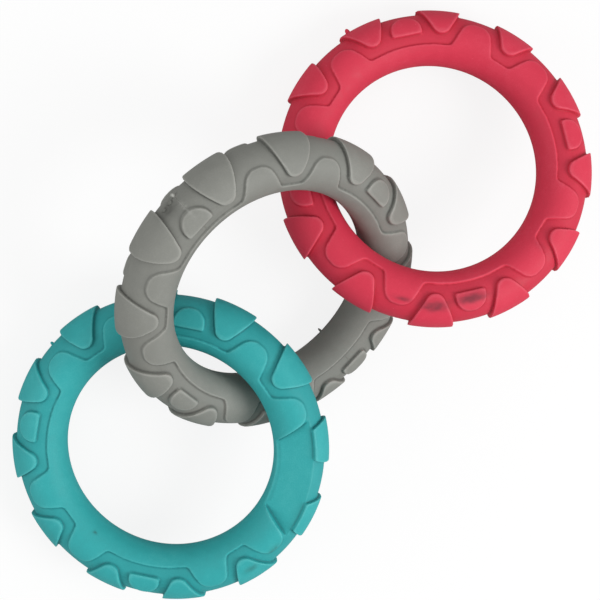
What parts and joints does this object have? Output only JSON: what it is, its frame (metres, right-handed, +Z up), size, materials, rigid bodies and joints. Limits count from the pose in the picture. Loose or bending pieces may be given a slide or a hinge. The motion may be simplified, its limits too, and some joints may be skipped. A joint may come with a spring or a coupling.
{
  "type": "rubber chew toy",
  "caption": "Linked rubber rings with a raised tyre-like tread: a chew and tug toy for a dog, held by hand through an end ring.",
  "frame": {"origin": "on the floor, under the middle of the toy's box", "axes": "+X along the chain from the teal ring to the pink ring, +Z up from the floor the rings lie on, +Y towards the raised side of the grey ring"},
  "size_m": [0.2184, 0.1086, 0.0564],
  "materials": {
    "pink_rubber": "matt moulded rubber, raspberry pink",
    "teal_rubber": "matt moulded rubber, teal",
    "grey_rubber": "matt moulded rubber, warm grey"
  },
  "bodies": {
    "middle": {"grey_half_pink_side": "grey_rubber", "grey_half_teal_side": "grey_rubber"},
    "pink_end": {"pink_ring": "pink_rubber"},
    "teal_end": {"teal_ring": "teal_rubber"}
  },
  "joints": [
    {"name": "pink_swing", "type": "hinge", "parent": "middle", "child": "pink_end", "pos_m": [0.02727, 0.01991, 0.02033], "axis": [-0.5844, -0.7513, 0.3067], "range_deg": [0, 80]},
    {"name": "teal_swing", "type": "hinge", "parent": "middle", "child": "teal_end", "pos_m": [-0.03171, 0.02463, 0.01964], "axis": [-0.6969, 0.6702, -0.2553], "range_deg": [0, 125]}
  ]
}
